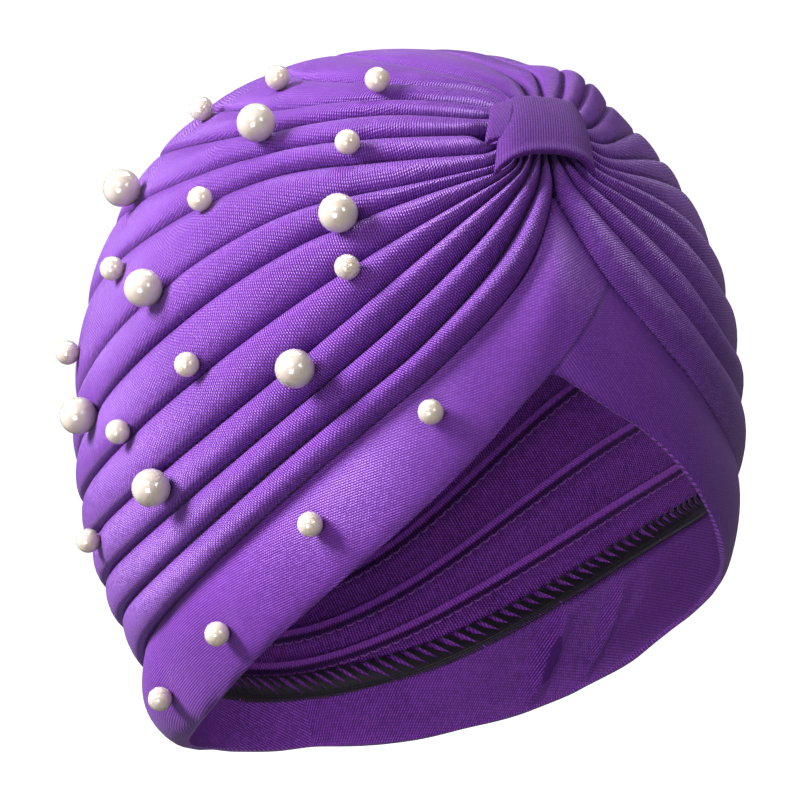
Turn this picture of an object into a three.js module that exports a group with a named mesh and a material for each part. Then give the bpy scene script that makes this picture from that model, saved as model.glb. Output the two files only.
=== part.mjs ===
// Pleated knit turban with a strap knot at the front and scattered pearls.
// Millimetres, +Z up, the brow faces -Y, the origin is the middle of the head hollow.
import * as THREE from 'three';

// Sizes of the worn crown
const DOME = new THREE.Vector3(86.4, 107.2, 105.6);
const TOP_HEIGHT = 101.6;
const SHOULDER = 2.25;
const TAPER_HEIGHT = -55;
const KNOT_POINT = new THREE.Vector3(5.5, -71.6, 77.6);

// Cloth
const WALL = 1.8;
const GROOVE_SHARE = 0.7;
const INNER_SHARE = 0.5;
const PUFF_AT_KNOT = 3;
const PUFF_TO_WIDTH = 0.42;
const BAND_THICKNESS = 2.6;
const BAND_GAP = 1.2;
const RIGHT_EASE = 1.6;
const SEAM_WIDTH = 6.5;
const SEAM_THICKNESS = 1.6;
const GAP = 0.4;

// Mesh steps
const PLEAT_STEPS = [0, 0.2, 0.5, 0.8, 1];
const ROWS = 32;
const LOOP_POINTS = 96;
const LENS_STEPS = 5;
const BAND_STATIONS = 72;
const SEAM_START = 6;

// Each fold line leaves the knot to one side, runs round the back and comes home on the other side.
// Bearings are degrees round the knot, 0 is up over the top, plus is to the viewer's right.
// They are given at these angles from the knot, null where the fold has already turned over the back.
const ANGLES = [7, 11, 25, 45, 70, 100, 140];
const FOLDS = [
  { left: [-163, -164, -152, -136, -123, -113, -96], right: [194, 194, 172, 146, 127, 103, 96.5],
    back: -78.5, puffLeft: 3.3, puffRight: 2.8 },
  { left: [-151, -150, -140.5, -129.5, -118, -108, -84], right: [178, 174, 152, 133.5, 113, 92.5, 80.5],
    back: -73, puffLeft: 3.3, puffRight: 2.5 },
  { left: [-139, -139, -130.5, -122, -113, -102, -73], right: [163, 158, 138.5, 125, 102, 80.5, 69],
    back: -67, puffLeft: 3.3, puffRight: 2.5 },
  { left: [-128, -131, -121.5, -114.5, -107, -95, -62], right: [149, 147, 124, 111, 89, 68, 58],
    back: -57.5, puffLeft: 3.3, puffRight: 2.5 },
  { left: [-118, -126, -114.5, -105.5, -98, -87, -48], right: [136, 134, 113, 99, 78, 56.5, 44],
    back: -43, puffLeft: 3, puffRight: 2.3 },
  { left: [-107, -121, -106, -95, -88, -78, null], right: [123, 124, 100, 83, 67, 46, null],
    back: -25, puffLeft: 2.6, puffRight: 2.1 },
  { left: [-97, -115, -100.5, -87, -80, -70, null], right: [110, 112, 89, 73, 57, 35, null],
    back: -4, puffLeft: 2.4, puffRight: 1.9 },
  { left: [-86, -104, -89, -76, -68.5, -53, null], right: [96, 97, 76, 62, 47, 26, null],
    back: 16, puffLeft: 1.5, puffRight: 1.6 },
  { left: [-74, -85, -77.5, -69, -59, -34, null], right: [80, 80, 62, 51, 37, 17, null],
    back: 34, puffLeft: 1.2, puffRight: 1.4 },
  { left: [-60, -68, -65.5, -61.5, -47, null, null], right: [63, 62, 49, 40, 27, null, null],
    back: 52, puffLeft: 1.1, puffRight: 1.2 },
  { left: [-45, -51, -57, -54, -33, null, null], right: [46, 45, 36, 29, 17, null, null],
    back: 68, puffLeft: 1, puffRight: 1.1 },
  { left: [-28, -29, -45, -38, null, null, null], right: [29, 27, 20, 16, null, null, null],
    back: 83, puffLeft: 1, puffRight: 1 },
  { left: [-12, -12, -25, -19, null, null, null], right: [12, 12, 5, 4, null, null, null],
    back: 95, puffLeft: 1, puffRight: 1 },
];

// The bunch of folds that stands up at the upper right of the knot
const BUNCH = { angle: 17, bearing: 47, rise: 5.5, spread: 6.5 };

// Lower edge of the band, bearing from straight ahead in degrees and height
const HEM = [
  { bearing: -3.6, height: 19.4 },
  { bearing: -8.7, height: 10 },
  { bearing: -13.6, height: 0 },
  { bearing: -22.3, height: -16 },
  { bearing: -31.4, height: -30 },
  { bearing: -45, height: -47 },
  { bearing: -55, height: -57 },
  { bearing: -73, height: -70 },
  { bearing: -95, height: -80 },
  { bearing: -120, height: -86.5 },
  { bearing: -150, height: -91.5 },
  { bearing: -180, height: -93.5 },
  { bearing: -210, height: -90.5 },
  { bearing: -240, height: -80.5 },
  { bearing: -265, height: -68 },
  { bearing: -285, height: -54 },
  { bearing: -305, height: -40 },
  { bearing: -320, height: -31 },
  { bearing: -332, height: -18 },
  { bearing: -341, height: -6.5 },
  { bearing: -349, height: 3.5 },
  { bearing: -356, height: 10.5 },
  { bearing: -362.8, height: 18.4 },
];

// Offsets of the band's outer face from the worn shape, from its top edge down to the hem
const BAND_PROFILE = [
  { share: 0, offset: -2.3 },
  { share: 0.12, offset: -0.9 },
  { share: 0.5, offset: 0 },
  { share: 0.94, offset: -0.3 },
  { share: 1, offset: -1.2 },
];

// The band stands off the head at its lower left corner
const BULGE = { bearing: -112, spread: 24, rise: 5 };

// Strap of the knot in millimetres across and up the crown from the knot point, and its height over the crown
const STRAP = {
  halfWidthFront: 13.1, halfWidthBack: 10.2, middle: -1, skew: 0.34,
  front: -14.5, cornerDrop: 2.6, back: 9, edge: 4.6, rise: 7.2, cornerPull: 1.2,
};
const STRAP_THICKNESS = 2;
const STRAP_STEPS = { across: 8, along: 10 };

// Pearls, diameter and place by angle and bearing from the knot
const PEARL_LARGE = 10;
const PEARL_SMALL = 6.5;
const PEARLS_LARGE = [
  { angle: 45.3, bearing: -65.3 },
  { angle: 74.5, bearing: -54.3 },
  { angle: 38.1, bearing: -98.5 },
  { angle: 70, bearing: -80.9 },
  { angle: 56.3, bearing: -114.1 },
  { angle: 95.9, bearing: -79.8 },
  { angle: 85.8, bearing: -103.7 },
];
const PEARLS_SMALL = [
  { angle: 45, bearing: -46.4 },
  { angle: 27, bearing: -54.5 },
  { angle: 60.5, bearing: -45 },
  { angle: 32.3, bearing: -81.4 },
  { angle: 56.9, bearing: -73.9 },
  { angle: 77.4, bearing: -68.9 },
  { angle: 41.7, bearing: -108.8 },
  { angle: 69.1, bearing: -97.2 },
  { angle: 98, bearing: -64 },
  { angle: 87.4, bearing: -91.4 },
  { angle: 49.8, bearing: -138.8 },
  { angle: 110.8, bearing: -90.7 },
  { angle: 72.4, bearing: -128.4 },
  { angle: 97.2, bearing: -122.5 },
  { angle: 120.8, bearing: -117.5 },
];

// Worn shape of the crown
const TAPER_SHARE = Math.sqrt(1 - (TAPER_HEIGHT / DOME.z) ** 2);
const TAPER_SLOPE = -TAPER_HEIGHT / (DOME.z * DOME.z * TAPER_SHARE);

// Moves a point along its line from the origin onto the worn shape.
function onDome(p) {
  const flat = Math.hypot(p.x / DOME.x, p.y / DOME.y);
  if (p.z > 0) {
    const full = (flat ** SHOULDER + (p.z / TOP_HEIGHT) ** SHOULDER) ** (-1 / SHOULDER);
    return p.clone().multiplyScalar(full);
  }
  const round = 1 / Math.hypot(flat, p.z / DOME.z);
  if (p.z * round >= TAPER_HEIGHT) {
    return p.clone().multiplyScalar(round);
  }
  const straight = (TAPER_SHARE - TAPER_SLOPE * TAPER_HEIGHT) / (flat - TAPER_SLOPE * p.z);
  return p.clone().multiplyScalar(straight);
}

// Outward direction of the worn shape at a point on it.
function outward(p) {
  const flat = Math.hypot(p.x / DOME.x, p.y / DOME.y);
  const low = p.z < TAPER_HEIGHT;
  const out = new THREE.Vector3(p.x / (DOME.x * DOME.x), p.y / (DOME.y * DOME.y), 0);
  if (p.z > 0) {
    out.multiplyScalar(flat ** (SHOULDER - 2));
    out.z = (p.z / TOP_HEIGHT) ** (SHOULDER - 1) / TOP_HEIGHT;
  } else {
    out.z = low ? -TAPER_SLOPE * flat : p.z / (DOME.z * DOME.z);
  }
  return out.normalize();
}

// Directions at the knot on the unit ball that is stretched into the worn shape
const knotOut = KNOT_POINT.clone().divide(DOME).normalize();
const knotUp = new THREE.Vector3(0, 0, 1).addScaledVector(knotOut, -knotOut.z).normalize();
const knotRight = new THREE.Vector3().crossVectors(knotUp, knotOut);

function atKnotAngle(angle, bearing) {
  const a = THREE.MathUtils.degToRad(angle);
  const b = THREE.MathUtils.degToRad(bearing);
  const p = knotOut.clone().multiplyScalar(Math.cos(a));
  p.addScaledVector(knotUp, Math.sin(a) * Math.cos(b));
  p.addScaledVector(knotRight, Math.sin(a) * Math.sin(b));
  return onDome(p.multiply(DOME));
}

function atHeight(bearing, height) {
  const b = THREE.MathUtils.degToRad(bearing);
  let share = TAPER_SHARE + TAPER_SLOPE * (height - TAPER_HEIGHT);
  if (height > 0) {
    share = (1 - (height / TOP_HEIGHT) ** SHOULDER) ** (1 / SHOULDER);
  } else if (height >= TAPER_HEIGHT) {
    share = Math.sqrt(1 - (height / DOME.z) ** 2);
  }
  const reach = share / Math.hypot(Math.sin(b) / DOME.x, Math.cos(b) / DOME.y);
  return new THREE.Vector3(Math.sin(b) * reach, -Math.cos(b) * reach, height);
}

const smooth = THREE.MathUtils.smoothstep;
const mix = THREE.MathUtils.lerp;

// Fold lines, each a row of points evenly spread from the knot round the back to the knot again
function foldLine(fold) {
  const stops = [];
  ANGLES.forEach((angle, i) => {
    if (fold.left[i] !== null) {
      stops.push(atKnotAngle(angle, fold.left[i]));
    }
  });
  stops.push(atHeight(180, fold.back));
  ANGLES.slice().reverse().forEach((angle, i) => {
    const bearing = fold.right[ANGLES.length - 1 - i];
    if (bearing !== null) {
      stops.push(atKnotAngle(angle, bearing));
    }
  });
  const curve = new THREE.CatmullRomCurve3(stops, false, 'centripetal');
  curve.arcLengthDivisions = 600;
  let line = curve.getSpacedPoints(LOOP_POINTS).map(onDome);
  const length = curve.getLength();
  for (let pass = 0; pass < 40; pass += 1) {
    line = line.map((p, i) => {
      const reach = (Math.min(i, LOOP_POINTS - i) / LOOP_POINTS) * length;
      const ease = THREE.MathUtils.clamp((reach - 70) / 60, 0, 1);
      if (ease === 0) {
        return p;
      }
      const middle = line[i - 1].clone().add(line[i + 1]).multiplyScalar(0.5);
      return p.clone().lerp(middle, 0.5 * ease);
    });
  }
  return line.map(onDome);
}

const lines = FOLDS.map(foldLine);

function onLine(line, share) {
  const place = THREE.MathUtils.clamp(share, 0, 1) * LOOP_POINTS;
  const i = Math.min(Math.floor(place), LOOP_POINTS - 1);
  return line[i].clone().lerp(line[i + 1], place - i);
}

// Rows lie closer together near the knot.
function rowShare(row) {
  const t = row / ROWS;
  return t - 0.11 * Math.sin(2 * Math.PI * t);
}

// Height of a pleat over its grooves
function puff(fold, share, width) {
  const atBack = 0.3 * (fold.puffLeft + fold.puffRight);
  let high = mix(PUFF_AT_KNOT, fold.puffLeft, smooth(share, 0.03, 0.22));
  high = mix(high, atBack, smooth(share, 0.3, 0.48));
  high = mix(high, fold.puffRight, smooth(share, 0.52, 0.7));
  high = mix(high, PUFF_AT_KNOT, smooth(share, 0.8, 0.97));
  return Math.min(high, PUFF_TO_WIDTH * width);
}

function pleatProfile(t) {
  return (1 - (2 * t - 1) ** 2) ** 0.7;
}

function bunchRise(p) {
  const place = atKnotAngle(BUNCH.angle, BUNCH.bearing);
  const reach = (BUNCH.spread * Math.PI / 180) * DOME.y;
  return BUNCH.rise * Math.exp(-p.distanceToSquared(place) / (reach * reach));
}

// Outer and inner points of the crown wall for a place on the worn shape
function wallPoints(p, high, t) {
  const out = outward(p);
  const lift = bunchRise(p) - RIGHT_EASE * smooth(p.x, 30, 75) - GROOVE_SHARE * high;
  const outer = p.clone().addScaledVector(out, lift + high * pleatProfile(t));
  const inner = p.clone().addScaledVector(out, lift - WALL + INNER_SHARE * high * pleatProfile(t));
  return { outer, inner };
}

// Closed mesh from points and triangles
function closedMesh(name, points, faces, look) {
  const geometry = new THREE.BufferGeometry();
  const flat = points.flatMap((p) => [p.x, p.y, p.z]);
  geometry.setAttribute('position', new THREE.Float32BufferAttribute(flat, 3));
  geometry.setIndex(faces.flat());
  geometry.computeVertexNormals();
  const mesh = new THREE.Mesh(geometry, new THREE.MeshStandardMaterial(look));
  mesh.name = name;
  return mesh;
}

const KNIT = { color: 0x6a2fae, roughness: 0.62, metalness: 0 };
const KNIT_BAND = { color: 0x6f36b4, roughness: 0.6, metalness: 0 };
const KNIT_STRAP = { color: 0x5a2a98, roughness: 0.64, metalness: 0 };
const OVERLOCK = { color: 0x17101f, roughness: 0.8, metalness: 0 };
const PEARL = { color: 0xf2ebe2, roughness: 0.22, metalness: 0 };

// Crown, one wall with a pleat between each pair of fold lines and a last pleat along the top
function buildCrown() {
  const outer = [];
  const inner = [];
  const add = (pair) => {
    outer.push(pair.outer);
    inner.push(pair.inner);
    return outer.length - 1;
  };
  const columns = [];
  for (let k = 0; k < lines.length; k += 1) {
    const last = k === lines.length - 1;
    const steps = last ? [0] : PLEAT_STEPS.slice(0, -1);
    steps.forEach((t) => {
      const column = [];
      for (let row = 0; row <= ROWS; row += 1) {
        const share = rowShare(row);
        const low = onLine(lines[k], share);
        const top = onLine(lines[Math.min(k + 1, lines.length - 1)], share);
        const below = onLine(lines[Math.max(k - 1, 0)], share);
        const width = last ? below.distanceTo(low) : low.distanceTo(top);
        let high = puff(FOLDS[k], share, width);
        if (t === 0 && k > 0) {
          high = 0.5 * (high + puff(FOLDS[k - 1], share, below.distanceTo(low)));
        }
        column.push(add(wallPoints(onDome(low.lerp(top, t)), high, t)));
      }
      columns.push(column);
    });
  }
  const faces = [];
  const quad = (a, b, c, d) => {
    faces.push([a, b, c], [a, c, d]);
  };
  for (let c = 0; c + 1 < columns.length; c += 1) {
    for (let row = 0; row < ROWS; row += 1) {
      quad(columns[c][row], columns[c + 1][row], columns[c + 1][row + 1], columns[c][row + 1]);
    }
  }
  const top = columns[columns.length - 1];
  const lastLine = lines[lines.length - 1];
  const half = ROWS / 2;
  let before = null;
  const rim = [];
  for (let row = 0; row < half; row += 1) {
    const left = onLine(lastLine, rowShare(row));
    const right = onLine(lastLine, rowShare(ROWS - row));
    const across = [top[row]];
    for (let q = 1; q < LENS_STEPS; q += 1) {
      const t = q / LENS_STEPS;
      const high = puff(FOLDS[FOLDS.length - 1], rowShare(row), left.distanceTo(right));
      across.push(add(wallPoints(onDome(left.clone().lerp(right, t)), high, t)));
    }
    across.push(top[ROWS - row]);
    if (before) {
      for (let q = 0; q < LENS_STEPS; q += 1) {
        quad(before[q], before[q + 1], across[q + 1], across[q]);
      }
    } else {
      rim.push(...across);
    }
    before = across;
  }
  for (let q = 0; q < LENS_STEPS; q += 1) {
    faces.push([before[q], before[q + 1], top[half]]);
  }
  const ring = columns.map((column) => column[0]);
  ring.push(...rim.slice(1, -1));
  ring.push(...columns.slice().reverse().map((column) => column[ROWS]));
  const centre = add(wallPoints(atKnotAngle(0, 0), 0, 0));
  ring.forEach((v, i) => {
    faces.push([v, centre, ring[(i + 1) % ring.length]]);
  });
  const edge = columns[0];
  const count = outer.length;
  const points = outer.concat(inner);
  const shell = faces.map((f) => [f[0], f[1], f[2]]);
  faces.forEach((f) => shell.push([f[0] + count, f[2] + count, f[1] + count]));
  edge.forEach((v, i) => {
    const w = edge[(i + 1) % edge.length];
    shell.push([v, w, w + count], [v, w + count, v + count]);
  });
  return closedMesh('crown', points, shell, KNIT);
}

// A ring or strip whose cross-sections are closed rows of points
function sweep(name, sections, closed, look) {
  const size = sections[0].length;
  const points = sections.flat();
  const faces = [];
  const spans = closed ? sections.length : sections.length - 1;
  for (let i = 0; i < spans; i += 1) {
    const a = i * size;
    const b = ((i + 1) % sections.length) * size;
    for (let k = 0; k < size; k += 1) {
      const n = (k + 1) % size;
      faces.push([a + k, a + n, b + n], [a + k, b + n, b + k]);
    }
  }
  if (!closed) {
    const end = (sections.length - 1) * size;
    for (let k = 1; k + 1 < size; k += 1) {
      faces.push([0, k + 1, k], [end, end + k, end + k + 1]);
    }
  }
  return closedMesh(name, points, faces, look);
}

// Share along a fold line where it crosses the middle of the back
function backShare(line) {
  for (let i = 20; i < LOOP_POINTS - 20; i += 1) {
    if (line[i].y > 0 && line[i].x < 0 && line[i + 1].x >= 0) {
      return (i - line[i].x / (line[i + 1].x - line[i].x)) / LOOP_POINTS;
    }
  }
  return 0.5;
}

function bandBulge(p, share) {
  const bearing = THREE.MathUtils.radToDeg(Math.atan2(p.x, -p.y));
  const near = Math.exp(-(((bearing - BULGE.bearing) / BULGE.spread) ** 2));
  return BULGE.rise * near * Math.sin(Math.PI * share) ** 0.7;
}

// Brow and nape band between the lowest fold line and the hem
const BAND_START = 0.018;
function buildBand() {
  const hem = new THREE.CatmullRomCurve3(HEM.map((h) => atHeight(h.bearing, h.height)), false, 'centripetal');
  hem.arcLengthDivisions = 600;
  let hemBack = 0.5;
  for (let i = 200; i < 400; i += 1) {
    if (hem.getPointAt(i / 600).x <= 0) {
      hemBack = i / 600;
    }
  }
  const lineBack = backShare(lines[0]);
  const sections = [];
  for (let i = 0; i < BAND_STATIONS; i += 1) {
    const t = (i + 0.25) / BAND_STATIONS;
    const f = t < 0.5 ? t * 2 : t * 2 - 1;
    const topShare = t < 0.5 ? mix(BAND_START, lineBack, f) : mix(lineBack, 1 - BAND_START, f);
    const hemShare = t < 0.5 ? hemBack * f : mix(hemBack, 1, f);
    const top = onLine(lines[0], topShare);
    const low = hem.getPointAt(hemShare);
    const start = BAND_GAP / top.distanceTo(low);
    const face = BAND_PROFILE.map((b) => {
      const p = onDome(top.clone().lerp(low, mix(start, 1, b.share)));
      const out = outward(p);
      const thin = b.share === 1 ? 0.55 : 1;
      const lift = b.offset + bandBulge(p, Math.min(b.share, 0.999));
      return {
        outer: p.clone().addScaledVector(out, lift),
        inner: p.clone().addScaledVector(out, lift - BAND_THICKNESS * thin),
      };
    });
    sections.push(face.map((p) => p.inner).concat(face.slice().reverse().map((p) => p.outer)));
  }
  return sweep('front_band', sections, true, KNIT_BAND);
}

// Overlocked seam allowance on the inside, just above the band
function buildSeam() {
  const sections = [];
  for (let row = SEAM_START; row <= ROWS - SEAM_START; row += 1) {
    const share = rowShare(row);
    const low = onLine(lines[0], share);
    const next = onLine(lines[1], share);
    const width = low.distanceTo(next);
    const high = puff(FOLDS[0], share, width);
    const rise = Math.min(SEAM_WIDTH, 0.62 * width);
    const inset = -GROOVE_SHARE * high - WALL - GAP - RIGHT_EASE * smooth(low.x, 30, 75);
    const section = [];
    [[0.6, 0], [rise, 0], [rise, -SEAM_THICKNESS], [0.6, -SEAM_THICKNESS]].forEach(([up, depth]) => {
      const p = onDome(low.clone().lerp(next, up / width));
      section.push(p.clone().addScaledVector(outward(p), inset + depth));
    });
    sections.push(section);
  }
  return sweep('seam_allowance', sections, false, OVERLOCK);
}

// Strap of the knot, a saddle of cloth over the gathered folds
function buildKnot() {
  const base = atKnotAngle(0, 0);
  const out = outward(base);
  const side = new THREE.Vector3(1, 0, 0).addScaledVector(out, -out.x).normalize();
  const climb = new THREE.Vector3().crossVectors(out, side);
  const upper = [];
  const under = [];
  const { across: nu, along: nv } = STRAP_STEPS;
  for (let j = 0; j <= nv; j += 1) {
    for (let i = 0; i <= nu; i += 1) {
      const u = (2 * i) / nu - 1;
      const v = j / nv;
      const place = mix(STRAP.front - STRAP.cornerDrop * u * u, STRAP.back, v);
      const halfWidth = mix(STRAP.halfWidthFront, STRAP.halfWidthBack, v);
      const arch = Math.sin(Math.PI * mix(0.2, 0.93, v)) ** 0.8;
      const high = mix(STRAP.edge, STRAP.rise, arch) - STRAP.cornerPull * u * u * arch;
      const flat = base.clone();
      flat.addScaledVector(side, STRAP.middle + STRAP.skew * place + u * halfWidth);
      flat.addScaledVector(climb, place);
      const p = onDome(flat);
      const n = outward(p);
      upper.push(p.clone().addScaledVector(n, high));
      under.push(p.clone().addScaledVector(n, high - STRAP_THICKNESS));
    }
  }
  const count = upper.length;
  const faces = [];
  const at = (i, j) => j * (nu + 1) + i;
  for (let j = 0; j < nv; j += 1) {
    for (let i = 0; i < nu; i += 1) {
      const [a, b, c, d] = [at(i, j), at(i + 1, j), at(i + 1, j + 1), at(i, j + 1)];
      faces.push([a, b, c], [a, c, d]);
      faces.push([a + count, c + count, b + count], [a + count, d + count, c + count]);
    }
  }
  const edge = [];
  for (let i = 0; i < nu; i += 1) {
    edge.push(at(i, 0));
  }
  for (let j = 0; j < nv; j += 1) {
    edge.push(at(nu, j));
  }
  for (let i = nu; i > 0; i -= 1) {
    edge.push(at(i, nv));
  }
  for (let j = nv; j > 0; j -= 1) {
    edge.push(at(0, j));
  }
  edge.forEach((v, i) => {
    const w = edge[(i + 1) % edge.length];
    faces.push([v, v + count, w + count], [v, w + count, w]);
  });
  return closedMesh('knot', upper.concat(under), faces, KNIT_STRAP);
}

// Triangles of a mesh, for measuring to it
function trianglesOf(mesh) {
  const place = mesh.geometry.getAttribute('position');
  const index = mesh.geometry.getIndex();
  const list = [];
  for (let i = 0; i < index.count; i += 3) {
    const corners = [0, 1, 2].map((k) => new THREE.Vector3().fromBufferAttribute(place, index.getX(i + k)));
    list.push(new THREE.Triangle(...corners));
  }
  return list;
}

// A pearl stands off the cloth until it clears it by the gap.
function buildPearl(name, spot, diameter, cloth) {
  const radius = diameter / 2;
  const foot = atKnotAngle(spot.angle, spot.bearing);
  const out = outward(foot);
  const near = cloth.filter((t) => t.a.distanceTo(foot) < 40 || t.b.distanceTo(foot) < 40);
  const closest = new THREE.Vector3();
  let lift = radius - 2;
  let clear = false;
  while (!clear) {
    lift += 0.1;
    const centre = foot.clone().addScaledVector(out, lift);
    clear = near.every((t) => t.closestPointToPoint(centre, closest).distanceTo(centre) > radius + GAP);
  }
  const geometry = new THREE.SphereGeometry(radius, 10, 7);
  geometry.rotateX(Math.PI / 2);
  const mesh = new THREE.Mesh(geometry, new THREE.MeshStandardMaterial(PEARL));
  mesh.name = name;
  mesh.position.copy(foot.addScaledVector(out, lift));
  return mesh;
}

const group = new THREE.Group();
group.name = 'turban';
const crown = buildCrown();
const band = buildBand();
const clothGroup = new THREE.Group();
clothGroup.name = 'cloth';
clothGroup.add(crown, band, buildKnot(), buildSeam());
const pearlGroup = new THREE.Group();
pearlGroup.name = 'pearls';
const cloth = trianglesOf(crown).concat(trianglesOf(band));
PEARLS_LARGE.forEach((spot, i) => {
  pearlGroup.add(buildPearl(`pearl_large_${i + 1}`, spot, PEARL_LARGE, cloth));
});
PEARLS_SMALL.forEach((spot, i) => {
  pearlGroup.add(buildPearl(`pearl_small_${i + 1}`, spot, PEARL_SMALL, cloth));
});
group.add(clothGroup, pearlGroup);

export default group;
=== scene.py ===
# %% [markdown]
# # A pleated knit turban with pearls
# The turban is one soft shell of fine knit. Tucks are sewn into it, and the pleats between them run
# from a knot over the brow, round the head and back to the knot. A plain doubled band frames the
# face, a short ribbed strap binds the gathers, and pearls are sewn on one side.
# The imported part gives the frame: metres, +Z up, the brow faces -Y, the origin is the middle of the
# head hollow. Everything below is placed in that frame.

import math

import bpy
import numpy as np
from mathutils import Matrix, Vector


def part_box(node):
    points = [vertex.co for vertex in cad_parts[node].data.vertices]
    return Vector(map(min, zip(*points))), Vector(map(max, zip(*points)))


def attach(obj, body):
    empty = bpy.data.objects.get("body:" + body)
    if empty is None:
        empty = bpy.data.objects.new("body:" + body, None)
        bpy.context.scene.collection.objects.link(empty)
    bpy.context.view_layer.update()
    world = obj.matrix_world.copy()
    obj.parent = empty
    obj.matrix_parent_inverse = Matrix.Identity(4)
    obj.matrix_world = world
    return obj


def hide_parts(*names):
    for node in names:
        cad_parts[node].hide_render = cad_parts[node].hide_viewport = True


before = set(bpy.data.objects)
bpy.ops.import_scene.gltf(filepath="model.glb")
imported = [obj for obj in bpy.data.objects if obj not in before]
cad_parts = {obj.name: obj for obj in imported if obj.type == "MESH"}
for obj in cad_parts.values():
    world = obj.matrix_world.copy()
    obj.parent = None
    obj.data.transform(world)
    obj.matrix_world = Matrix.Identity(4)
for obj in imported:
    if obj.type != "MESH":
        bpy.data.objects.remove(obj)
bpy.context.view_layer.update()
MM = 0.001
random = np.random.default_rng(7)
print("nodes in the part:", len(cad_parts))

# %% [markdown]
# ## The worn shape
# On a head the cloth is stretched over an egg shape. Every fold lies on it, so it comes first.
# It is an ellipsoid with a somewhat flat top and full shoulders, and it runs straight below the ears.
# A point is brought onto it along its line from the origin, and the folds are counted from the knot,
# as a map is drawn round a pole: an angle away from the knot, and a bearing round it, 0 up over the
# top and plus to the right.

# %% Egg shape and the map round the knot
DOME = np.array([86.4, 107.2, 105.6]) * MM
TOP_HEIGHT = 101.6 * MM
SHOULDER = 2.25
TAPER_HEIGHT = -55 * MM
KNOT_POINT = np.array([5.5, -71.6, 77.6]) * MM
TAPER_SHARE = math.sqrt(1 - (TAPER_HEIGHT / DOME[2]) ** 2)
TAPER_SLOPE = -TAPER_HEIGHT / (DOME[2] ** 2 * TAPER_SHARE)


def on_dome(p):
    flat = np.hypot(p[..., 0] / DOME[0], p[..., 1] / DOME[1])
    high = np.maximum(p[..., 2], 0) / TOP_HEIGHT
    upper = (flat**SHOULDER + high**SHOULDER) ** (-1 / SHOULDER)
    lower = 1 / np.hypot(flat, p[..., 2] / DOME[2])
    straight = (TAPER_SHARE - TAPER_SLOPE * TAPER_HEIGHT) / np.maximum(flat - TAPER_SLOPE * p[..., 2], 1e-6)
    reach = np.where(p[..., 2] > 0, upper, np.where(p[..., 2] * lower >= TAPER_HEIGHT, lower, straight))
    return p * reach[..., None]


def outward(p):
    flat = np.hypot(p[..., 0] / DOME[0], p[..., 1] / DOME[1])
    full = np.where(p[..., 2] > 0, np.maximum(flat, 1e-6) ** (SHOULDER - 2), 1)
    upper = (np.maximum(p[..., 2], 0) / TOP_HEIGHT) ** (SHOULDER - 1) / TOP_HEIGHT
    z = np.where(p[..., 2] < TAPER_HEIGHT, -TAPER_SLOPE * flat, p[..., 2] / DOME[2] ** 2)
    z = np.where(p[..., 2] > 0, upper, z)
    n = np.stack([full * p[..., 0] / DOME[0] ** 2, full * p[..., 1] / DOME[1] ** 2, z], axis=-1)
    return n / np.linalg.norm(n, axis=-1, keepdims=True)


def unit(v):
    return v / np.linalg.norm(v)


knot_out = unit(KNOT_POINT / DOME)
knot_up = unit(np.array([0, 0, 1]) - knot_out * knot_out[2])
knot_right = np.cross(knot_up, knot_out)


def at_knot_angle(angle, bearing):
    a, b = np.radians(angle), np.radians(bearing)
    ball = knot_out * np.cos(a) + knot_up * np.sin(a) * np.cos(b) + knot_right * np.sin(a) * np.sin(b)
    return on_dome(ball * DOME)


def at_height(bearing, height):
    b = math.radians(bearing)
    if height > 0:
        share = (1 - (height / TOP_HEIGHT) ** SHOULDER) ** (1 / SHOULDER)
    elif height >= TAPER_HEIGHT:
        share = math.sqrt(1 - (height / DOME[2]) ** 2)
    else:
        share = TAPER_SHARE + TAPER_SLOPE * (height - TAPER_HEIGHT)
    reach = share / math.hypot(math.sin(b) / DOME[0], math.cos(b) / DOME[1])
    return np.array([math.sin(b) * reach, -math.cos(b) * reach, height])


knot_base = at_knot_angle(0, 0)
print("knot on the worn shape, mm:", (knot_base / MM).round(1))
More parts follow.
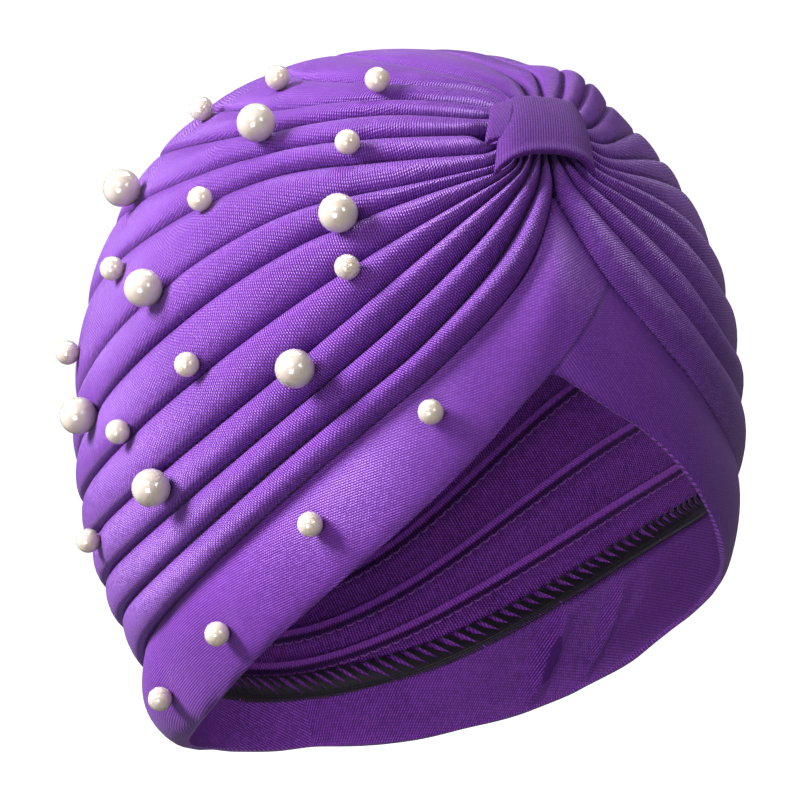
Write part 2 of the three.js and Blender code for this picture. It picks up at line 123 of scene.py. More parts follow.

# %% [markdown]
# ## The tuck lines
# Each tuck is one line of stitches that leaves the knot on the left, passes round the back and comes
# home on the right. The table gives its bearing at a few angles from the knot, as read along the
# cloth, and a smooth curve joins them. The back part is eased so that the lines lie as cloth does,
# with no wobble.

# %% Table of the tucks
ANGLES = [7, 11, 25, 45, 70, 100, 140]
TUCKS = [
    # left bearings, right bearings, height at the back (mm), puff left and right (mm)
    ([-163, -164, -152, -136, -123, -113, -96], [194, 194, 172, 146, 127, 103, 96.5], -78.5, 4.4, 2.5),
    ([-151, -150, -140.5, -129.5, -118, -108, -84], [178, 174, 152, 133.5, 113, 92.5, 80.5], -73, 4.5, 2.2),
    ([-139, -139, -130.5, -122, -113, -102, -73], [163, 158, 138.5, 125, 102, 80.5, 69], -67, 4.6, 2),
    ([-128, -131, -121.5, -114.5, -107, -95, -62], [149, 147, 124, 111, 89, 68, 58], -57.5, 4.5, 1.6),
    ([-118, -126, -114.5, -105.5, -98, -87, -48], [136, 134, 113, 99, 78, 56.5, 44], -43, 4.2, 1.2),
    ([-107, -121, -106, -95, -88, -78, None], [123, 124, 100, 83, 67, 46, None], -25, 3.7, 0.9),
    ([-97, -115, -100.5, -87, -80, -70, None], [110, 112, 89, 73, 57, 35, None], -4, 3.2, 0.7),
    ([-86, -104, -89, -76, -68.5, -53, None], [96, 97, 76, 62, 47, 26, None], 16, 2.6, 0.6),
    ([-74, -85, -77.5, -69, -59, -34, None], [80, 80, 62, 51, 37, 17, None], 34, 2.0, 0.6),
    ([-60, -68, -65.5, -61.5, -47, None, None], [63, 62, 49, 40, 27, None, None], 52, 1.6, 0.6),
    ([-45, -51, -57, -54, -33, None, None], [46, 45, 36, 29, 17, None, None], 68, 1.2, 1.4),
    ([-28, -29, -45, -38, None, None, None], [29, 27, 20, 16, None, None, None], 83, 1, 1),
    ([-12, -12, -25, -19, None, None, None], [12, 12, 5, 4, None, None, None], 95, 1, 1),
]
print("tucks:", len(TUCKS))

# %% Curves through the table
LINE_STEPS = 96
LINE_POINTS = 600
EASE_FROM, EASE_OVER, EASE_ROUNDS = 70 * MM, 60 * MM, 40


def curve_through(stops, count):
    """A smooth curve through the stops, as count + 1 evenly spread points."""
    stops = np.asarray(stops, float)
    p = np.vstack([2 * stops[0] - stops[1], stops, 2 * stops[-1] - stops[-2]])
    t = np.linspace(0, 1, 40, endpoint=False)[:, None]
    parts = []
    for i in range(1, len(p) - 2):
        d = [max(math.sqrt(np.linalg.norm(p[i + j] - p[i + j - 1])), 1e-6) for j in range(3)]
        go = (p[i] - p[i - 1]) / d[0] - (p[i + 1] - p[i - 1]) / (d[0] + d[1]) + (p[i + 1] - p[i]) / d[1]
        end = (p[i + 1] - p[i]) / d[1] - (p[i + 2] - p[i]) / (d[1] + d[2]) + (p[i + 2] - p[i + 1]) / d[2]
        go, end, step = go * d[1], end * d[1], p[i + 1] - p[i]
        parts.append(p[i] + go * t + (3 * step - 2 * go - end) * t**2 + (go + end - 2 * step) * t**3)
    fine = np.vstack(parts + [stops[-1:]])
    return along(fine, np.linspace(0, 1, count + 1))


def along(points, shares):
    """Points at these shares of a line's length."""
    steps = np.linalg.norm(np.diff(points, axis=0), axis=1)
    length = np.concatenate([[0], np.cumsum(steps)])
    place = np.asarray(shares) * length[-1]
    return np.stack([np.interp(place, length, points[:, i]) for i in range(3)], axis=-1)


def tuck_line(left, right, back):
    stops = [at_knot_angle(a, b) for a, b in zip(ANGLES, left) if b is not None]
    stops.append(at_height(180, back * MM))
    stops += [at_knot_angle(a, b) for a, b in reversed(list(zip(ANGLES, right))) if b is not None]
    line = on_dome(curve_through(stops, LINE_STEPS))
    length = np.linalg.norm(np.diff(line, axis=0), axis=1).sum()
    place = np.arange(LINE_STEPS + 1)
    reach = np.minimum(place, LINE_STEPS - place) / LINE_STEPS * length
    ease = 0.5 * np.clip((reach - EASE_FROM) / EASE_OVER, 0, 1)[1:-1, None]
    for _ in range(EASE_ROUNDS):
        line[1:-1] += ease * (0.5 * (line[:-2] + line[2:]) - line[1:-1])
    return on_dome(curve_through(on_dome(line), LINE_POINTS))


tuck_lines = [tuck_line(left, right, back) for left, right, back, _, _ in TUCKS]
print("longest tuck, mm:", round(np.linalg.norm(np.diff(tuck_lines[0], axis=0), axis=1).sum() / MM))

# %% [markdown]
# ## The crown
# The crown is a grid: its columns run along the tucks and its rows go across the pleats. Between two
# tucks the cloth stands up in a soft tube, and at the tuck it dives into a crease. On the inside the
# tuck is a thin cord of folded cloth. A grid placed by a formula keeps all pleats in step, which is
# why it is used here rather than sculpting. Columns lie closer together at the creases. Far left a pleat
# hangs over its lower edge, and below the knot it is highest at its upper edge.

# %% Rows and columns
ROWS = 176
HALF = ROWS // 2
ACROSS = np.array([0, 0.02, 0.045, 0.075, 0.115, 0.165, 0.24, 0.35, 0.5])
ACROSS = np.concatenate([ACROSS, 1 - ACROSS[-2::-1]])
row_place = np.linspace(0, 1, ROWS + 1)
row_share = row_place - 0.11 * np.sin(2 * np.pi * row_place)
tucks = np.stack([along(line, row_share) for line in tuck_lines])


def smooth_step(x, low, high):
    t = np.clip((x - low) / (high - low), 0, 1)
    return t * t * (3 - 2 * t)


def mix(a, b, t):
    return a + (b - a) * t


pleat_width = np.linalg.norm(np.diff(tucks, axis=0), axis=2)
pleat_width = np.vstack([pleat_width, pleat_width[-1:]])
print("pleat widths at the side, mm:", (pleat_width[:, 40] / MM).round(1))

# %% Puff of each pleat
# In mm. A pleat is full at the knot, settles to its own puff on the left, lies flatter at the far left and
# the back, and comes home with its right puff. A slow sway keeps the pleats from looking alike.
PUFF_AT_KNOT = 4.8
PUFF_HOME_LOW, PUFF_HOME_HIGH = 3.6, 1.1
LOW_PLEATS, SIDE_PLEATS = 4, 7
FAR_LEFT_SHARE, BACK_SHARE = 0.55, 0.3
PUFF_TO_WIDTH = 0.66


def pleat_puff(k):
    left, right = TUCKS[k][3], TUCKS[k][4]
    home = PUFF_HOME_LOW if k < LOW_PLEATS else PUFF_HOME_HIGH
    high = mix(PUFF_AT_KNOT, left, smooth_step(row_share, 0.05, 0.25 if k < SIDE_PLEATS else 0.4))
    high = mix(high, FAR_LEFT_SHARE * left, smooth_step(row_share, 0.18, 0.27))
    high = mix(high, BACK_SHARE * (left + right), smooth_step(row_share, 0.3, 0.48))
    high = mix(high, right, smooth_step(row_share, 0.52, 0.7))
    high = mix(high, home, smooth_step(row_share, 0.88, 0.98))
    free = smooth_step(np.minimum(row_share, 1 - row_share), 0, 0.1)
    sway = 1 + 0.1 * np.sin(row_share * (31 + 3 * k) + 2.1 * k) * free
    return np.minimum(high * sway * MM, PUFF_TO_WIDTH * pleat_width[k])


puffs = np.stack([pleat_puff(k) for k in range(len(TUCKS))])
crease = np.vstack([puffs[:1], 0.5 * (puffs[:-1] + puffs[1:])])
print("puff, mm:", (puffs.min() / MM).round(1), "to", (puffs.max() / MM).round(1))

# %% Wall of the crown
WALL = 1.8 * MM
CREASE_SHARE = 0.7
PUFF_OUTSIDE, PUFF_INSIDE = 0.3, 0.5
PINCH_LEFT, PINCH_RIGHT, PINCH_HALF_WIDTH = 0.9 * MM, 0.4 * MM, 0.7 * MM
CORD_HEIGHT = 2 * MM
CORD_HALF_WIDTH = 0.8 * MM
BUNCH = {"angle": 17, "bearing": 47, "rise": 5.5 * MM, "spread": 6.5}
HOLLOW = {"angle": 10.8, "bearing": -91, "depth": 5.5 * MM, "spread": 2.3 * MM}
RIGHT_EASE = 1.6 * MM
LEAN_LEFT, LEAN_KNOT, LEAN_RIGHT = 0.75, 1.3, 1.5


def bunch_rise(p):
    """The gathers stand up right of the knot and leave a small dark hollow left of it."""
    gap = np.linalg.norm(p - at_knot_angle(BUNCH["angle"], BUNCH["bearing"]), axis=-1)
    rise = BUNCH["rise"] * np.exp(-((gap / (math.radians(BUNCH["spread"]) * DOME[1])) ** 2))
    gap = np.linalg.norm(p - at_knot_angle(HOLLOW["angle"], HOLLOW["bearing"]), axis=-1)
    return rise - HOLLOW["depth"] * np.exp(-((gap / HOLLOW["spread"]) ** 2))


def tube(t, lean):
    """Height across a pleat, highest near its upper edge if lean is over 1, near its lower edge if below."""
    return np.clip(1 - np.abs(2 * t**lean - 1) ** 2, 0, 1) ** 0.6


def wall(base, puff, dip, t, width):
    """Outer and inner face for a place on the worn shape, at share t across a pleat."""
    below = smooth_step(knot_base[2] - base[..., 2], 0, 25 * MM)
    near = 1 - smooth_step(np.linalg.norm(base - knot_base, axis=-1), 65 * MM, 130 * MM)
    lean = mix(LEAN_LEFT, LEAN_KNOT, below * near)
    lean = mix(lean, LEAN_RIGHT, smooth_step(base[..., 0], -10 * MM, 40 * MM))
    out = outward(base)
    gap = np.minimum(t, 1 - t) * width
    pinch = mix(PINCH_LEFT, PINCH_RIGHT, smooth_step(base[..., 0], 20 * MM, 50 * MM))
    pinch = pinch * np.exp(-((gap / PINCH_HALF_WIDTH) ** 2))
    cord = CORD_HEIGHT * np.exp(-((gap / CORD_HALF_WIDTH) ** 2))
    lift = bunch_rise(base) - RIGHT_EASE * smooth_step(base[..., 0], 30 * MM, 75 * MM)
    full = tube(t, lean)
    outer = lift - CREASE_SHARE * dip * (1 - full) + PUFF_OUTSIDE * puff * full - pinch
    inner = lift - CREASE_SHARE * dip - WALL + PUFF_INSIDE * puff * full - cord
    return base + out * outer[..., None], base + out * inner[..., None]


columns = []
for k in range(len(TUCKS) - 1):
    for t in ACROSS[:-1]:
        base = on_dome(mix(tucks[k], tucks[k + 1], t))
        dip = mix(crease[k], crease[k + 1], t)
        columns.append(wall(base, puffs[k], dip, t, pleat_width[k]))
columns.append(wall(on_dome(tucks[-1]), puffs[-1], crease[-1], 0, pleat_width[-1]))
crown_outer = np.stack([c[0] for c in columns])
crown_inner = np.stack([c[1] for c in columns])
print("crown grid:", crown_outer.shape[:2])

# %% Last pleat along the top and the cap under the strap
LENS_ACROSS = ACROSS[1:-1]
lens_outer, lens_inner = [], []
for row in range(1, HALF):
    left, right = tucks[-1][row], tucks[-1][ROWS - row]
    base = on_dome(left + (right - left) * LENS_ACROSS[:, None])
    width = np.linalg.norm(right - left)
    puff = np.full(len(LENS_ACROSS), puffs[-1][row])
    outer, inner = wall(base, puff, puff * 0 + crease[-1][row], LENS_ACROSS, width)
    lens_outer.append(outer)
    lens_inner.append(inner)
lens_outer, lens_inner = np.stack(lens_outer), np.stack(lens_inner)
cap_outer, cap_inner = wall(knot_base, np.array(0.0), np.array(0.0), np.array(0.5), np.array(1.0))
outer_points = np.vstack([crown_outer.reshape(-1, 3), lens_outer.reshape(-1, 3), cap_outer[None]])
inner_points = np.vstack([crown_inner.reshape(-1, 3), lens_inner.reshape(-1, 3), cap_inner[None]])
print("points on each face of the crown:", len(outer_points))

# %% Faces of the crown
COLS = len(crown_outer)
LENS = len(LENS_ACROSS)


def grid_at(column, row):
    return column * (ROWS + 1) + row


def lens_at(row, q):
    """Points across the top pleat in one row, its two edges shared with the last tuck."""
    if q == 0:
        return grid_at(COLS - 1, row)
    if q == LENS + 1:
        return grid_at(COLS - 1, ROWS - row)
    return COLS * (ROWS + 1) + (row - 1) * LENS + q - 1


crown_faces = []
for c in range(COLS - 1):
    for r in range(ROWS):
        crown_faces.append((grid_at(c, r), grid_at(c + 1, r), grid_at(c + 1, r + 1), grid_at(c, r + 1)))
for r in range(1, HALF - 1):
    for q in range(LENS + 1):
        crown_faces.append((lens_at(r, q), lens_at(r, q + 1), lens_at(r + 1, q + 1), lens_at(r + 1, q)))
for q in range(LENS + 1):
    crown_faces.append((lens_at(HALF - 1, q), lens_at(HALF - 1, q + 1), grid_at(COLS - 1, HALF)))
ring = [grid_at(c, 0) for c in range(COLS)] + [lens_at(1, q) for q in range(LENS + 2)]
ring += [grid_at(c, ROWS) for c in reversed(range(COLS))]
centre = len(outer_points) - 1
for i, v in enumerate(ring):
    crown_faces.append((v, centre, ring[(i + 1) % len(ring)]))
print("faces on each side:", len(crown_faces))

# %% Knit coordinates
# u runs along the pleat and v across it, both in metres, so that a stitch has one size everywhere. All
# columns of a pleat share one u, so a rib goes straight across it. The left half is counted from the left
# end of the tucks and the right half from the right end.
IN_PLEAT = len(ACROSS) - 1
steps_along = np.linalg.norm(np.diff(crown_outer, axis=1), axis=2)
steps_across = np.linalg.norm(np.diff(crown_outer, axis=0), axis=2)
pleat_steps = steps_along[:-1].reshape(len(TUCKS) - 1, IN_PLEAT, ROWS).mean(axis=1)
pleat_steps = np.vstack([pleat_steps, steps_along[-1:]])
along_pleat = np.concatenate([np.zeros((len(TUCKS), 1)), np.cumsum(pleat_steps, axis=1)], axis=1)
across_crown = np.concatenate([np.zeros((1, ROWS + 1)), np.cumsum(steps_across, axis=0)])
lens_edge = np.concatenate([tucks[-1][1:HALF, None], lens_outer], axis=1)
lens_steps = np.linalg.norm(np.diff(lens_edge, axis=1), axis=2)
across_lens = across_crown[-1][1:HALF, None] + np.cumsum(lens_steps, axis=1)
pleat_of = np.minimum(np.arange(COLS) // IN_PLEAT, len(TUCKS) - 1)
pleat_share = np.concatenate([np.tile(ACROSS[:-1], len(TUCKS) - 1), [0]])
gap_crown = np.minimum(pleat_share, 1 - pleat_share)[:, None] * pleat_width[pleat_of]
FAR_FROM_TUCK, NOT_BELOW_TUCK = 10 * MM, 20 * MM
in_lens = np.ones(across_lens.size + 1)
tuck_gap = np.concatenate([gap_crown.ravel(), FAR_FROM_TUCK * in_lens])
under = (pleat_share > 0.5) | (pleat_share == 0)
below_crown = np.where(under[:, None], gap_crown, NOT_BELOW_TUCK)
below_tuck = np.concatenate([below_crown.ravel(), NOT_BELOW_TUCK * in_lens])
across_all = np.concatenate([across_crown.ravel(), across_lens.ravel(), [0]])
print("cloth along the longest pleat, mm:", round(along_pleat.max() / MM))


# %% Turn points and faces into a piece
def make_piece(name, points, faces, finishes, face_finish=None, knit=None, values=None):
    """A smooth mesh object at the origin. knit holds named maps, one (u, v) for each corner of each face."""
    mesh = bpy.data.meshes.new(name)
    mesh.from_pydata([tuple(p) for p in points], [], [tuple(f) for f in faces])
    for finish in finishes:
        mesh.materials.append(finish)
    if face_finish is not None:
        mesh.polygons.foreach_set("material_index", np.asarray(face_finish, dtype=np.int32))
    for map_name, corners in (knit or {}).items():
        layer = mesh.uv_layers.new(name=map_name)
        layer.data.foreach_set("uv", np.asarray(corners, dtype=np.float32).ravel())
    for value_name, numbers in (values or {}).items():
        layer = mesh.attributes.new(value_name, "FLOAT", "POINT")
        layer.data.foreach_set("value", np.asarray(numbers, dtype=np.float32))
    mesh.polygons.foreach_set("use_smooth", np.ones(len(mesh.polygons), dtype=bool))
    mesh.update()
    piece = bpy.data.objects.new(name, mesh)
    bpy.context.scene.collection.objects.link(piece)
    return piece


def clear_selection():
    bpy.ops.object.select_all(action="DESELECT")


clear_selection()
print("selected objects:", len(bpy.context.selected_objects))

# %% [markdown]
# ## The knit finish
# Seen close, the cloth is rows of tiny loops: a fine rib every 0.6 mm across the pleat, broken into
# dashes. A wave drawn in the knit coordinates gives the ribs, a second wave shifted on every other rib
# breaks them, and both drive colour and bump; the hollows between the loops are painted darker as
# shade. The yarn is a smooth filament, so the cloth has a satin gleam: a soft coloured reflection and
# some sheen at grazing angles.

# %% Small helpers for node trees
RIB = 0.64 * MM
DASH = 0.98 * MM
MID_LOOP = 0.45


def add_math(tree, operation, a, b=None):
    node = tree.nodes.new("ShaderNodeMath")
    node.operation = operation
    for socket, value in zip(node.inputs, (a, b)):
        if value is None:
            continue
        if isinstance(value, (int, float)):
            socket.default_value = value
        else:
            tree.links.new(value, socket)
    return node.outputs[0]


def add_fade(tree, value, low, high, to_low, to_high):
    """Runs smoothly from to_low to to_high while the value goes from low to high."""
    node = tree.nodes.new("ShaderNodeMapRange")
    node.interpolation_type = "SMOOTHSTEP"
    for socket, number in zip(node.inputs[1:5], (low, high, to_low, to_high)):
        socket.default_value = number
    tree.links.new(value, node.inputs[0])
    return node.outputs[0]


def add_attribute(tree, name):
    node = tree.nodes.new("ShaderNodeAttribute")
    node.attribute_name = name
    return node.outputs["Fac"]


def map_axes(tree, map_name):
    place = tree.nodes.new("ShaderNodeUVMap")
    place.uv_map = map_name
    split = tree.nodes.new("ShaderNodeSeparateXYZ")
    tree.links.new(place.outputs[0], split.inputs[0])
    return split.outputs[0], split.outputs[1]


def knit_height(tree, map_name, rib, dash):
    """Height of the loops, 0 to 1, from a map whose x goes along the rows of ribs."""
    x, y = map_axes(tree, map_name)
    x = add_math(tree, "DIVIDE", x, rib)
    y = add_math(tree, "DIVIDE", y, dash)
    ribs = add_math(tree, "ABSOLUTE", add_math(tree, "SINE", add_math(tree, "MULTIPLY", x, math.pi)))
    odd = add_math(tree, "MULTIPLY", add_math(tree, "FLOOR", x), 0.5)
    shifted = add_math(tree, "MULTIPLY", add_math(tree, "ADD", y, odd), math.pi)
    dashes = add_math(tree, "ABSOLUTE", add_math(tree, "SINE", shifted))
    broken = add_math(tree, "ADD", add_math(tree, "MULTIPLY", dashes, 0.6), 0.4)
    stitch = tree.nodes.new("ShaderNodeCombineXYZ")
    tree.links.new(add_math(tree, "FLOOR", x), stitch.inputs[0])
    tree.links.new(add_math(tree, "FLOOR", add_math(tree, "ADD", y, odd)), stitch.inputs[1])
    chance = tree.nodes.new("ShaderNodeTexWhiteNoise")
    chance.noise_dimensions = "2D"
    tree.links.new(stitch.outputs[0], chance.inputs["Vector"])
    uneven = add_math(tree, "ADD", add_math(tree, "MULTIPLY", chance.outputs["Value"], 0.5), 0.75)
    return add_math(tree, "MULTIPLY", add_math(tree, "MULTIPLY", ribs, broken), uneven)


# %% Knit material
def blend(tree, share, a, b):
    """Mix two colours, each a plain colour or a socket."""
    node = tree.nodes.new("ShaderNodeMix")
    node.data_type = "RGBA"
    for socket, value in ((node.inputs["A"], a), (node.inputs["B"], b)):
        if isinstance(value, tuple):
            socket.default_value = (*value, 1)
        else:
            tree.links.new(value, socket)
    tree.links.new(share, node.inputs["Factor"])
    return node.outputs["Result"]


def speckled(tree, scale, detail):
    """Soft noise that stays in place on the piece."""
    noise = tree.nodes.new("ShaderNodeTexNoise")
    noise.inputs["Scale"].default_value = scale
    noise.inputs["Detail"].default_value = detail
    place = tree.nodes.new("ShaderNodeTexCoord")
    tree.links.new(place.outputs["Object"], noise.inputs["Vector"])
    return noise.outputs[0]


def knit_finish(name, hollow, loop, height, dark=None, bright=None, press=None, contrast=1, bump=0.8,
                gleam=0.5, rough=0.42):
    """A knit with one colour on the loops and a darker one in the hollows, painted as shade between the loops.

    height, dark, bright and press each take the node tree and return a socket. It says how high the loops
    are, from 0 to 1, where shade is painted darker, where light is painted brighter, or where the cloth is
    sunk.
    """
    finish = bpy.data.materials.new(name)
    finish.use_nodes = True
    tree = finish.node_tree
    shader = tree.nodes["Principled BSDF"]
    high = height(tree)
    cloud = add_math(tree, "MULTIPLY", add_math(tree, "SUBTRACT", speckled(tree, 42, 3), 0.5), 0.4)
    above = add_math(tree, "MULTIPLY", add_math(tree, "SUBTRACT", high, MID_LOOP), contrast)
    sharp = add_math(tree, "ADD", above, MID_LOOP)
    # Painted shade: the hollows between the loops take the darker hollow colour.
    colour = blend(tree, add_math(tree, "ADD", sharp, cloud), hollow, loop)
    # Painted light and shade: bright lifts the colour towards the loop colour, dark pulls it towards a quarter
    # of the hollow colour.
    if bright:
        colour = blend(tree, bright(tree), colour, loop)
    if dark:
        colour = blend(tree, dark(tree), colour, tuple(0.25 * c for c in hollow))
    tree.links.new(colour, shader.inputs["Base Color"])
    relief = tree.nodes.new("ShaderNodeBump")
    relief.inputs["Strength"].default_value = bump
    relief.inputs["Distance"].default_value = 0.3 * MM
    tree.links.new(add_math(tree, "SUBTRACT", high, press(tree)) if press else high, relief.inputs["Height"])
    tree.links.new(relief.outputs[0], shader.inputs["Normal"])
    shader.inputs["Roughness"].default_value = rough
    shader.inputs["Specular IOR Level"].default_value = gleam
    shader.inputs["Specular Tint"].default_value = (0.66, 0.4, 1, 1)
    shader.inputs["Sheen Weight"].default_value = 0.09
    shader.inputs["Sheen Roughness"].default_value = 0.4
    shader.inputs["Sheen Tint"].default_value = (0.82, 0.6, 1, 1)
    return finish


def plain_knit(rib=RIB, dash=DASH):
    return lambda tree: knit_height(tree, "knit", rib, dash)


def tuck_stitches_and_shade(tree):
    """Darker along the tuck: painted shade in its crease, with darker dashes where the needle went through."""
    near = add_fade(tree, add_attribute(tree, "tuck_gap"), 0.2 * MM, 0.55 * MM, 1, 0)
    run, _ = map_axes(tree, "knit")
    pulse = add_math(tree, "SINE", add_math(tree, "MULTIPLY", run, 2 * math.pi / (2.4 * MM)))
    return add_math(tree, "MULTIPLY", near, add_fade(tree, pulse, -0.3, 0.3, 0.35, 0.9))


def cord_painted_light(tree):
    """On the inside the cord of a tuck is smooth, and painted brighter as light on its raised top."""
    return add_fade(tree, add_attribute(tree, "tuck_gap"), 0.6 * MM, 1.1 * MM, 0.4, 0)


def cord_shade(tree):
    """A strip below the cord lies in its shade."""
    below = add_attribute(tree, "below_tuck")
    near = add_fade(tree, below, 1.9 * MM, 3 * MM, 0.5, 0)
    wide = add_fade(tree, below, 2 * MM, 8 * MM, 0.38, 0)
    past_cord = add_fade(tree, below, 0.8 * MM, 1.3 * MM, 0, 1)
    return add_math(tree, "MULTIPLY", past_cord, add_math(tree, "ADD", near, wide))


# The outside is painted darker along each tuck crease as shade, and more so in dashes where it is stitched.
violet = knit_finish("violet_knit", (0.026, 0.004, 0.07), (0.178, 0.042, 0.365), plain_knit(),
                     dark=tuck_stitches_and_shade, contrast=1.4, gleam=0.6, rough=0.38)
# The inside is the same knit with its loops painted about two and a half times brighter, as light on the
# inside.
wrong_side_painted_light = knit_finish("violet_wrong_side", (0.024, 0.002, 0.062), (0.52, 0.11, 0.88),
                         plain_knit(0.85 * MM, 0.95 * MM), dark=cord_shade, bright=cord_painted_light, contrast=1.5,
                         bump=1, rough=0.5)
print("finishes:", violet.name, wrong_side_painted_light.name)

# %% Close the crown
count = len(outer_points)
shell = list(crown_faces) + [tuple(v + count for v in reversed(f)) for f in crown_faces]
edge = [grid_at(0, r) for r in range(ROWS + 1)]
for i, v in enumerate(edge):
    w = edge[(i + 1) % len(edge)]
    shell.append((v, w, w + count, v + count))
face_finish = [0] * len(crown_faces) + [1] * len(crown_faces) + [0] * len(edge)
grid_size = COLS * (ROWS + 1)


def knit_corners(faces):
    """u and v for every corner of every face. The pleat is that of the face's lowest column."""
    corners = []
    for f in faces:
        points = [v % count for v in f]
        on_grid = [v for v in points if v < grid_size]
        pleat = pleat_of[min(v // (ROWS + 1) for v in on_grid)] if len(on_grid) > 2 else len(TUCKS) - 1
        from_right = any(v % (ROWS + 1) > HALF for v in on_grid) and len(on_grid) > 2
        for v in points:
            row = v % (ROWS + 1) if v < grid_size else min((v - grid_size) // LENS + 1, HALF)
            u = along_pleat[pleat][row]
            corners.append((along_pleat[pleat][-1] - u if from_right else u, across_all[v]))
    return corners


near_tucks = {"tuck_gap": np.tile(tuck_gap, 2), "below_tuck": np.tile(below_tuck, 2)}
crown = make_piece("crown_cloth", np.vstack([outer_points, inner_points]), shell, [violet, wrong_side_painted_light],
                   face_finish, {"knit": knit_corners(shell)}, near_tucks)
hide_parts("crown")
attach(crown, "root")
print("crown faces:", len(crown.data.polygons))

# %% [markdown]
# ## The band
# A doubled strip of the same knit runs round the face and the nape. It starts under the first pleat
# and ends in a soft folded hem. Over the brow its two arms meet in an inverted V, and a mitre crease
# runs from the tip of the V to the right. It is a ring of cross-sections: out over the face of the
# band, round the fold, and back up the inside.

# %% Hem line
HEM = [
    # bearing from straight ahead in degrees, height in mm
    (-3.6, 19.4), (-8.7, 10), (-13.6, 0), (-22.3, -16), (-31.4, -30), (-45, -47), (-55, -57), (-73, -70),
    (-95, -80), (-120, -86.5), (-150, -91.5), (-180, -93.5), (-210, -90.5), (-240, -80.5), (-265, -68),
    (-285, -54), (-305, -40), (-320, -31), (-332, -18), (-341, -6.5), (-349, 3.5), (-356, 10.5), (-362.8, 18.4),
]
hem_line = curve_through([at_height(b, h * MM) for b, h in HEM], LINE_POINTS)


def back_share(line):
    """Share of a line's length where it crosses the middle of the back."""
    middle = np.where((line[:-1, 1] > 0) & (line[:-1, 0] * line[1:, 0] <= 0))[0][0]
    length = np.concatenate([[0], np.cumsum(np.linalg.norm(np.diff(line, axis=0), axis=1))])
    return length[middle] / length[-1]


print("hem as worn, mm:", round(np.linalg.norm(np.diff(hem_line, axis=0), axis=1).sum() / MM))

# %% Stations round the band
STATIONS = 320
BAND_START = 0.012
face_share = np.array([0, 0.02, 0.045, 0.08, 0.12, 0.17, 0.23, 0.3, 0.37, 0.44, 0.51, 0.58, 0.65, 0.72, 0.79,
                       0.86, 0.91, 0.95, 0.98, 1])
lining_share = np.array([0.995, 0.97, 0.9, 0.8, 0.7, 0.6, 0.5, 0.4, 0.3, 0.2, 0.1, 0])
lining_depth = np.interp(lining_share, [0, 0.1, 0.5, 0.9, 1], [-5.0, -4.2, -3.0, -2.8, -2.3]) * MM
station = (np.arange(STATIONS) + 0.5) / STATIONS
first_half = station < 0.5
part = np.where(first_half, station * 2, station * 2 - 1)
top_back, hem_back = back_share(tuck_lines[0]), back_share(hem_line)
top_share = np.where(first_half, mix(BAND_START, top_back, part), mix(top_back, 1 - BAND_START, part))
top = along(tuck_lines[0], top_share)
low = along(hem_line, np.where(first_half, hem_back * part, mix(hem_back, 1, part)))
print("band width at the side and brow, mm:", (np.linalg.norm(top - low, axis=1)[[60, 2]] / MM).round(1))

# %% How far the band stands off the head
BULGE = {"bearing": -112, "spread": 24, "rise": 5 * MM}
PLEAT_PRESS, PLEAT_REACH = 2.6 * MM, 4.5 * MM
HEM_ROLL, HEM_REACH = 1.2 * MM, 1.2 * MM
BROW = {"middle": -4 * MM, "spread": 11 * MM, "rise": 2.2 * MM}
# Folds in the slack lining: bearing in degrees, half width in degrees, depth in mm.
PUCKERS = [(121, 3.2, 4), (104.5, 2.4, 2.2)]
PUCKER_SLANT = 3
NEAREST_BATCH = 800


def nearest(points, line):
    """Distance from each point to a line given as points."""
    flat = points.reshape(-1, 3)
    gaps = []
    for i in range(0, len(flat), NEAREST_BATCH):
        gaps.append(np.linalg.norm(flat[i:i + NEAREST_BATCH, None] - line[None], axis=2).min(axis=1))
    return np.concatenate(gaps).reshape(points.shape[:-1])


def bearing_of(points):
    return np.degrees(np.arctan2(points[..., 0], -points[..., 1]))


def band_bulge(base, shares):
    """The band stands off the head at its lower left corner."""
    near = np.exp(-(((bearing_of(base) - BULGE["bearing"]) / BULGE["spread"]) ** 2))
    return BULGE["rise"] * near * np.sin(np.pi * np.clip(shares, 0, 1)) ** 0.7


def band_ripple(base):
    """Slack in the cloth: slow slanting waves."""
    turn = np.radians(bearing_of(base))
    climb = base[..., 2] / (30 * MM)
    return (0.35 * np.sin(9 * turn + 1.3 * climb) + 0.25 * np.sin(17 * turn - 2.1 * climb + 1)) * MM


tuck_halves = (tuck_lines[0][:LINE_POINTS // 2:2], tuck_lines[0][LINE_POINTS // 2::2])
face_base = on_dome(mix(top[:, None], low[:, None], face_share[None, :, None]))
under_pleat = sum(np.exp(-nearest(face_base, half) / PLEAT_REACH) for half in tuck_halves)
face_lift = -PLEAT_PRESS * (1 - np.exp(-1.3 * under_pleat)) / (1 - math.exp(-1.3))
face_lift -= HEM_ROLL * np.exp(-nearest(face_base, hem_line[::2]) / HEM_REACH)
face_lift += band_bulge(face_base, face_share[None]) + 0.5 * band_ripple(face_base)
brow = np.exp(-(((face_base[..., 0] - BROW["middle"]) / BROW["spread"]) ** 2)) * (face_base[..., 1] < 0)
face_lift += BROW["rise"] * brow * np.sin(np.pi * face_share[None]) ** 0.8
lining_base = on_dome(mix(top[:, None], low[:, None], lining_share[None, :, None]))
lining_lift = lining_depth[None] + band_bulge(lining_base, lining_share[None])
slack = np.sin(np.pi * np.clip(lining_share, 0, 1))[None]
lining_lift += slack * np.minimum(band_ripple(lining_base), 0.5 * MM)
for bearing, spread, depth in PUCKERS:
    aside = (bearing_of(lining_base) - bearing - PUCKER_SLANT * (lining_share - 0.5)) / spread
    fold = 1.3 * np.exp(-(aside**2)) - 0.3 * np.exp(-((aside / 2.2) ** 2))
    lining_lift += slack * depth * MM * fold
band_outer = face_base + outward(face_base) * face_lift[..., None]
band_lining = lining_base + outward(lining_base) * lining_lift[..., None]
band_points = np.concatenate([band_outer, band_lining], axis=1)
